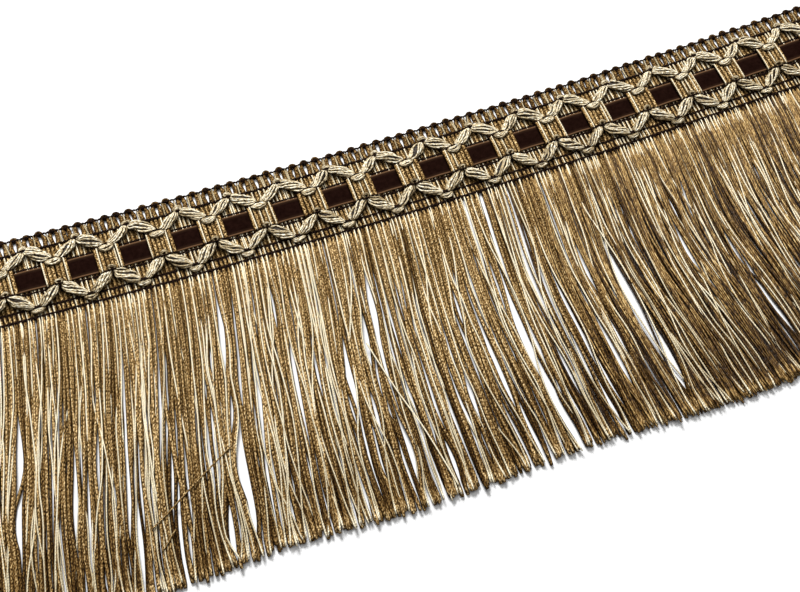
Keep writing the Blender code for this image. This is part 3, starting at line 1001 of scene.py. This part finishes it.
TIP_LINE = -104.3 * MM
TIP_WAVE = 0.8 * MM
TIP_WAVE_LENGTH = 80 * MM
TIP_UNEVENNESS = 0.55 * MM
LEFT_LEAN = -11 * MM
LEFT_BEND = -3 * MM
RIGHT_LEAN = -10.5 * MM
RIGHT_TURN = 10.5 * MM
TURN_PLACE = 0.41
TURN_ROUNDING = 0.12
SWAY_LEFT_END = -110 * MM
SWAY_RIGHT_END = 90 * MM
TAN_ROOT_HEIGHT = 0.5 * MM
CREAM_ROOT_HEIGHT = 0.85 * MM
STRAND_HALF_WIDTH = 0.5 * MM
STRAND_HALF_HEIGHT = 0.38 * MM
STRAND_SHARES = np.append(np.linspace(0, 0.985, 30), 1.0)
# The widest gaps between strands, as measured off the photograph.
# Columns: place at the root in mm, share of the way down, half length as a share, half width in mm, and how
# many mm the gap leans across the strands from root to tip.
WIDE_GAPS = (
    (49.9, 0.56, 0.300, 1.25, -7),
    (-71.5, 0.87, 0.095, 1.30, 3),
    (-105.7, 0.49, 0.125, 0.80, 3),
    (17.0, 0.50, 0.154, 0.70, -10),
    (-67.0, 0.66, 0.083, 1.00, -3),
    (-33.3, 0.47, 0.116, 0.60, -3),
    (51.3, 0.71, 0.136, 0.70, -2),
    (-112.5, 0.62, 0.104, 0.60, -3),
    (-127.3, 0.45, 0.096, 0.70, 7),
    (-65.6, 0.81, 0.072, 0.90, 2),
    (5.5, 0.67, 0.098, 0.60, -1),
    (-127.8, 0.62, 0.069, 0.90, -7),
    (-73.3, 0.52, 0.092, 0.50, -1),
    (-68.0, 0.25, 0.090, 0.80, 3),
    (-22.9, 0.81, 0.071, 0.70, -7),
    (14.9, 0.38, 0.103, 0.40, -10),
    (-35.0, 0.59, 0.066, 0.60, -1),
    (-26.4, 0.55, 0.087, 0.40, -1),
    (-28.9, 0.65, 0.071, 0.50, -10),
    (23.6, 0.71, 0.103, 0.40, -10),
    (-67.4, 0.50, 0.061, 0.60, -7),
    (-26.6, 0.40, 0.050, 0.80, 6),
    (-72.1, 0.31, 0.055, 0.50, 1),
    (-31.0, 0.78, 0.058, 0.50, -13),
    (-23.5, 0.29, 0.067, 0.50, 3),
    (18.3, 0.92, 0.058, 0.50, -11),
    (-3.7, 0.70, 0.048, 0.50, -9),
    (74.9, 0.28, 0.050, 0.50, 4),
    (1.5, 0.41, 0.051, 0.50, -10),
    (72.5, 0.46, 0.058, 0.50, -4),
    (105.5, 0.29, 0.060, 0.50, -1),
    (40.9, 0.66, 0.048, 0.40, -10),
    (-13.5, 0.86, 0.047, 0.50, -1),
    (-51.7, 0.19, 0.077, 0.40, 0),
    (-95.3, 0.79, 0.066, 0.30, 2),
    (-105.4, 0.90, 0.050, 0.60, -2),
)
NARROW_GAPS = 70
LENS_SKEW = 0.6
LENS_PEAK = 1.13
TIP_CLOSING = 0.45

# The fringe draws from a seed of its own, so a change in the heading doesn't move its strands.
chance = np.random.default_rng(9)


def sway(x, share):
    """How far a strand that is rooted at x lies to the side, at a share of the way down to its tip.

    A lean and a bend of 1 - cos(pi * share) at the left end pass, at the right, into a lean to the left that
    turns into one to the right along a hyperbola, at TURN_PLACE.
    """
    left = LEFT_LEAN * share + LEFT_BEND * (1 - np.cos(np.pi * share))
    turn = np.hypot(share - TURN_PLACE, TURN_ROUNDING) - np.hypot(TURN_PLACE, TURN_ROUNDING)
    right = RIGHT_LEAN * share + RIGHT_TURN * (share + turn)
    return left + (right - left) * ease(x, SWAY_LEFT_END, SWAY_RIGHT_END)


def tip_line(x):
    """Where the fringe was cut: almost straight, with half of the heading's curve and a slow sine wave."""
    return TIP_LINE + bow(x) / 2 - TIP_WAVE * np.sin(2 * np.pi * x / TIP_WAVE_LENGTH - np.pi)


# The narrow gaps fall by chance. Columns: as in WIDE_GAPS.
narrow_gaps = np.column_stack(
    [
        chance.uniform(-HALF_LENGTH, HALF_LENGTH, NARROW_GAPS) / MM,
        chance.beta(2.2, 1.6, NARROW_GAPS) * 0.95 + 0.12,
        chance.uniform(0.06, 0.16, NARROW_GAPS),
        chance.uniform(0.0, 0.3, NARROW_GAPS),
        chance.normal(-3, 6, NARROW_GAPS),
    ]
)
gap_x, gap_share, gap_length, gap_width, gap_lean = np.concatenate([WIDE_GAPS, narrow_gaps]).T
gap_x, gap_lean = gap_x * MM, gap_lean * MM
# The push that opens a gap is longer and wider than what is seen of the gap between the strands.
gap_length = 1.25 * gap_length + 0.05
push_width = (0.9 * gap_width + 0.3) * MM
push_reach = 2.5 * push_width + 1.4 * MM
gap_lopsided = chance.uniform(-0.9, 0.9, len(gap_x))


def parted(x, share):
    """How far the gaps push the strands aside that would lie at x, strands by places, at each share.

    A gap is a lens: the strands keep push_width * (1 - t^2)^1.5 * (1 + skew * t) / peak from its middle, with
    t from -1 to 1 between its ends, and a little less towards the tips. gap_lopsided moves more of the push
    to one side. A strand passes each gap on the side where it lies halfway down the gap. The push falls off
    in a straight line, and is nothing at push_reach.
    """
    t = np.clip((share[:, None] - gap_share) / gap_length, -1, 1)
    half_width = push_width * (1 - t**2) ** 1.5 * (1 + LENS_SKEW * t) / LENS_PEAK
    half_width = half_width * (1 - TIP_CLOSING * ease(share[:, None], 0.9, 1.0))
    away = x[:, :, None] - gap_x + gap_lopsided * push_width - gap_lean * (share[:, None] - gap_share)
    halfway = np.clip(np.round(gap_share * (len(share) - 1)), 0, len(share) - 1).astype(int)
    side = np.where(away[:, halfway, np.arange(len(gap_x))] < 0, -1, 1)[:, None]
    fall = np.clip(1 - side * away / push_reach, 0, 1.4)
    return ((side + gap_lopsided) * fall * half_width).sum(axis=-1)


WAVES = 12
TURNS_DOWN = 2.2


def made_waves(shortest, longest, steepness):
    """Random waves across the fringe: wave number, turns down a strand, phase and steepness of each."""
    length = shortest * (longest / shortest) ** chance.random(WAVES)
    phase = chance.normal(0, TURNS_DOWN, WAVES), chance.uniform(0, FULL_TURN, WAVES)
    return 2 * np.pi / length, *phase, steepness


def drift(x, share, waves):
    """The sum of the waves at x and a share down the strand, by a root of 2 over their count.

    One wave is steepness / number * sin(number * x + turns * share + phase).
    """
    number, turns, phase, steepness = waves
    angle = x[:, None, None] * number + share[:, None] * turns + phase
    return (steepness * np.sqrt(2 / len(number)) / number * np.sin(angle)).sum(axis=-1)


common_waves = made_waves(8 * MM, 30 * MM, 0.25)
OWN_SHORTEST = 3 * MM
OWN_LONGEST = 9 * MM
OWN_STEEPNESS = 0.22
# Each strand also swings by itself. Columns: turns down the strand, and size as a share of its wander.
SWINGS = ((1.1, 0.5), (2.3, 0.12), (4.7, 0.05))
WANDER_LIMIT = 2.5
TIP_LIMIT = 2 * MM
LOOSE_FROM = 0.45
STRAYING = 0.12
LEVEL_SCATTER = 0.13 * MM
FLOOR_GAP = 0.02 * MM
# From root to tip, the sine by which a strand dips turns by a number of radians between these two.
SLOWEST_DIP = 5
QUICKEST_DIP = 16


def strand_paths(x, root_height, height, dip, wander, obeying, rises=0.1):
    """The middle line of each strand: it sways, is pushed aside by the gaps, drifts, and wanders a little.

    obeying is how far most of the strands follow the gaps. One in eight follows them less, and crosses them.
    rises is the share of the way down by which the last strand has come up to its height. Each strand lies
    at its height plus dip times a sine of its own, and never in the floor.
    """
    share = STRAND_SHARES
    each = (len(x), 1)
    root = ROOT_LINE + bow(x)
    tip = tip_line(x) + chance.normal(0, TIP_UNEVENNESS, len(x)).clip(-TIP_LIMIT, TIP_LIMIT)
    y = root[:, None] + (tip - root)[:, None] * share
    loose = ease(share, 0.0, LOOSE_FROM) * (0.5 + 0.5 * share)
    own = chance.standard_t(3, each).clip(-WANDER_LIMIT, WANDER_LIMIT) * share
    for turns, size in SWINGS:
        phase = chance.uniform(0, 2 * np.pi, each)
        swing = size * chance.normal(0, 1, each)
        own = own + swing * (np.sin(2 * np.pi * turns * share + phase) - np.sin(phase))
    follows = np.where(chance.random(each) < STRAYING, chance.random(each), obeying)
    own_waves = made_waves(OWN_SHORTEST, OWN_LONGEST, OWN_STEEPNESS)
    drifts = drift(x, share, common_waves) + drift(x, share, own_waves)
    across = x[:, None] + loose * (wander * own + drifts)
    across = across + follows * parted(across, share) + sway(x[:, None], share)
    dips = chance.uniform(SLOWEST_DIP, QUICKEST_DIP, each) * share + chance.uniform(0, FULL_TURN, each)
    level = height + chance.normal(0, LEVEL_SCATTER, each) + dip * np.sin(dips)
    rise = ease(share, 0.01, chance.uniform(0.1, rises, each))
    z = root_height * (1 - rise) + np.maximum(level, STRAND_HALF_HEIGHT + FLOOR_GAP) * rise
    return np.stack([across, y, z], axis=-1)


TIP_FLARE = 0.25
TIP_TAPER = 0.35


def strands(name, centres, half_width, half_height, sides, material, slot, tone_spread, gloom):
    """Cut strands along the centres, which flare by TIP_FLARE before they end, and taper at the very end."""
    flare = 1 + TIP_FLARE * ease(STRAND_SHARES, 0.9, 0.98) - TIP_TAPER * ease(STRAND_SHARES, 0.98, 1.0)
    tone, gloom = toned(len(centres), tone_spread), gloom.clip(-0.4, 1)
    width, height = half_width * flare, half_height * flare
    piece = laid(name, centres, width, height, sides, material, tone, gloom, shifted=True)
    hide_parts("fringe")


# Painted shade over the fringe's lower half and towards its right end, cleared at the tips, where painted
# light lifts the cut ends.
LOWER_DUSK = 0.58
RIGHT_DUSK = 0.36
RIGHT_DUSK_BELOW = 0.2
RIGHT_DUSK_PLACE = 90 * MM
TIP_CLEARING = 0.8
TIP_LIGHT = 0.35


def dusk(centres, downward=LOWER_DUSK, rightward=1.0):
    """Painted shade over the lower half and the right of the fringe, and painted light at the tips."""
    share = STRAND_SHARES
    at_right = RIGHT_DUSK + RIGHT_DUSK_BELOW * ease(share, 0.05, 0.4)
    to_right = ease(centres[:, :1, 0], 0, RIGHT_DUSK_PLACE) * at_right
    dark = downward * ease(share, 0.45, 0.95) + rightward * to_right
    return dark * (1 - TIP_CLEARING * ease(share, 0.94, 1.0)) - TIP_LIGHT * ease(share, 0.96, 1.0)


OPENED_FROM = 80 * MM


def opened(x):
    """How far the yarn has opened into its plies: not at all left of the middle, and all from OPENED_FROM."""
    return ease(x, 0, OPENED_FROM)


TAN_SCATTER = 0.12 * MM
TAN_DIP = 0.12 * MM
TAN_TONE_SPREAD = 0.26
FINER_OPENED = 0.3
CREAM_HALF_WIDTH = 0.95 * CREAM_RADIUS
CREAM_HALF_HEIGHT = 0.9 * CREAM_RADIUS
CREAM_DIP = 0.3 * MM
CREAM_DUSK = 0.42
CREAM_TONE_SPREAD = 0.1


def tan_layer(name, kept, kept_open, shift, height, wander, obeying, gloom):
    """A strand for each pass of weft, or for a share kept of them, moved along the heading by shift.

    The share passes from kept, where the yarn is whole, to kept_open, where it has opened.
    """
    x = pass_x + shift + chance.normal(0, TAN_SCATTER, len(pass_x))
    x = x[(np.abs(x) < HALF_LENGTH) & (chance.random(len(x)) < kept + (kept_open - kept) * opened(x))]
    centres = strand_paths(x, TAN_ROOT_HEIGHT, height, TAN_DIP, wander, obeying)
    finer = (1 - FINER_OPENED * opened(x[:, None])) * chance.uniform(0.8, 1.14, (len(x), 1))
    size = STRAND_HALF_WIDTH * finer, STRAND_HALF_HEIGHT * finer
    strands(name, centres, *size, 6, tan_yarn, "tan_yarn", TAN_TONE_SPREAD, gloom + dusk(centres))


def cream_layer(name, x, height, wander, obeying, gloom):
    """A thread for each place x, which dips under its tan neighbours and comes up again."""
    centres = strand_paths(x, CREAM_ROOT_HEIGHT, height, CREAM_DIP, wander, obeying, rises=0.35)
    size = CREAM_HALF_WIDTH, CREAM_HALF_HEIGHT
    gloom = gloom + dusk(centres, CREAM_DUSK, 0.0)
    strands(name, centres, *size, 5, cream_yarn, "cream_yarn", CREAM_TONE_SPREAD, gloom)


# Columns: name, share of the passes with a strand where the yarn is whole and where it has opened, shift,
# height, wander, how far the strands follow the gaps, and gloom, the painted shade of each layer.
TAN_LAYERS = (
    ("fringe_lower_tan", 0.6, 0.5, PASS_STEP / 3, 0.42 * MM, 1.1 * MM, 0.9, 0.6),
    ("fringe_middle_tan", 1, 0.3, -PASS_STEP / 3, 0.75 * MM, 1.1 * MM, 1.0, 0.35),
    ("fringe_upper_tan", 1, 0.1, 0, 1.12 * MM, 1.2 * MM, 1.0, 0.0),
)
for layer in TAN_LAYERS:
    tan_layer(*layer)

LOWER_CREAM_SHARE = 0.25
lower_cream_x = pass_x[chance.random(len(pass_x)) < LOWER_CREAM_SHARE] + 0.5 * MM
# The lower creams carry a little painted shade, and the upper a little painted light.
cream_layer("fringe_lower_cream", lower_cream_x, 1.0 * MM, wander=2.6 * MM, obeying=0.95, gloom=0.05)
cream_layer("fringe_upper_cream", cream_x, 1.42 * MM, wander=2.4 * MM, obeying=0.95, gloom=-0.05)

# Towards the right end single plies of the opened yarn lie among the strands and on top of them, finer and
# smoother than the yarn.
PLY_STEP = PASS_STEP / 3.2
PLY_HALF_WIDTH = 0.31 * MM
PLY_HALF_HEIGHT = 0.28 * MM
PLY_DIP = 0.25 * MM
PLY_WANDER = 1.3 * MM
PLY_TONE_SPREAD = 0.6

tan_plies = twisted(
    "tan_opened_plies",
    light=srgb(252, 220, 152),
    body=srgb(162, 124, 68),
    dark=srgb(14, 7, 2),
    ply_length=1.8,
    plies=1,
    lay=0.12,
    fleck=2.9,
    stretch=9.0,
    roundness=1.5,
    roughness=0.5,
    shine=0.2,
)
# The lower plies carry painted shade, and the upper plies painted light, on top of the fringe's dusk.
for label, height, gloom in (("lower", 0.8 * MM, 0.65), ("upper", 1.25 * MM, -0.2)):
    ply_x = np.arange(0, HALF_LENGTH, PLY_STEP) + PASS_STEP / 6
    ply_x = ply_x[chance.random(len(ply_x)) < opened(ply_x)]
    ply_centres = strand_paths(ply_x, TAN_ROOT_HEIGHT, height, PLY_DIP, PLY_WANDER, obeying=1.0)
    strands(
        f"fringe_{label}_plies",
        ply_centres,
        PLY_HALF_WIDTH,
        PLY_HALF_HEIGHT,
        4,
        tan_plies,
        "tan_yarn",
        PLY_TONE_SPREAD,
        gloom + dusk(ply_centres),
    )

# A few ends lie across the others.
# Columns: place along and across the trim in millimetres, from one end of the yarn to the other.
CREAM_STRAYS = (
    ((-32.6, -52.0), (-31.6, -58.4), (-29.3, -70.5), (-26.5, -82.5), (-24.6, -94.2), (-23.4, -102.6)),
)
TAN_STRAYS = (
    ((-106.1, -86.1), (-101.0, -83.2), (-94.7, -79.2), (-82.9, -72.1), (-78.7, -69.7)),
    ((-105.0, -93.1), (-103.4, -91.6), (-101.7, -89.9), (-100.0, -88.3)),
)
CREAM_STRAY_HEIGHT = 1.95 * MM
TAN_STRAY_HEIGHT = 1.85 * MM
TAN_STRAY_RADIUS = 0.26 * MM


def stray_ends(name, routes, height, radius, material):
    """One closed yarn for each route, level at the height, on the smooth curve through its places."""
    for number, route in enumerate(routes):
        plan = smooth(np.array(route) * MM, 6)
        centres = np.column_stack([plan, np.full(len(plan), height)])
        piece = laid(f"{name}_{number + 1}", centres[None], radius, radius, 6, material)


stray_ends("stray_cream", CREAM_STRAYS, CREAM_STRAY_HEIGHT, CREAM_RADIUS, cream_yarn)
stray_ends("stray_tan", TAN_STRAYS, TAN_STRAY_HEIGHT, TAN_STRAY_RADIUS, tan_yarn)

# ---------------------------------------------------------------------------------------------------------
# The table, the lights and the camera. The table is plain white. One large soft light stands beyond the
# picot edge, a wider one hangs overhead, and the camera looks down from the fringe's side.

TABLE_SIZE = 4
TABLE_WHITES = ((0.9, 0.9, 0.9, 1), (0.93, 0.93, 0.93, 1))

bpy.ops.mesh.primitive_plane_add(size=TABLE_SIZE)
table = bpy.context.object
table.name = "table"
table_look = Look("white_table", Roughness=0.9)
table_spot = table_look.add("ShaderNodeTexCoord", None, None, "Object")
table_grain = table_look.add("ShaderNodeTexNoise", None, {"Vector": table_spot, "Scale": 40.0})
table_shades = {"Factor": table_grain, 6: TABLE_WHITES[0], 7: TABLE_WHITES[1]}
table_colour = table_look.add("ShaderNodeMix", {"data_type": "RGBA"}, table_shades, 2)
table.data.materials.append(table_look.finish(Base_Color=table_colour))

VIEW_PITCH = np.radians(60)
VIEW_HEADING = Vector((0.34153, 0.93987, 0))
CAMERA_PLACE = Vector((-5.563 * REPEAT, -14.728 * REPEAT, 22.5 * REPEAT + 1.6 * MM))
LENS = 63
SENSOR_WIDTH = 36
NEAREST = 0.01

camera = bpy.data.objects.new("camera", bpy.data.cameras.new("camera"))
bpy.context.collection.objects.link(camera)
camera.data.lens = LENS
camera.data.sensor_width = SENSOR_WIDTH
camera.data.clip_start = NEAREST
view_direction = VIEW_HEADING * np.cos(VIEW_PITCH) + Vector((0, 0, -np.sin(VIEW_PITCH)))
view_right = view_direction.cross(Vector((0, 0, 1))).normalized()
view_up = view_right.cross(view_direction)
turned = Matrix((view_right, view_up, -view_direction)).transposed().to_4x4()
camera.matrix_world = Matrix.Translation(CAMERA_PLACE) @ turned
bpy.context.scene.camera = camera

LIT_PLACE = Vector((0, -0.04, 0))


def soft_light(name, place, size, power):
    """A square light of the given size at a place, facing the middle of the trim."""
    light = bpy.data.lights.new(name, "AREA")
    light.shape = "SQUARE"
    light.size = size
    light.energy = power
    lamp = bpy.data.objects.new(name, light)
    bpy.context.collection.objects.link(lamp)
    away = Vector(place) - LIT_PLACE
    lamp.matrix_world = Matrix.Translation(place) @ away.to_track_quat("Z", "Y").to_matrix().to_4x4()


soft_light("key", (0.0, 1.0, 0.95), size=0.5, power=28)
soft_light("overhead", (0.1, 0.1, 1.6), size=1.2, power=8)

ROOM_LIGHT = 0.14
world = bpy.data.worlds.new("studio")
world.use_nodes = True
background = world.node_tree.nodes["Background"]
background.inputs["Color"].default_value = (1, 1, 1, 1)
background.inputs["Strength"].default_value = ROOM_LIGHT
bpy.context.scene.world = world
bpy.context.scene.view_settings.view_transform = "Standard"
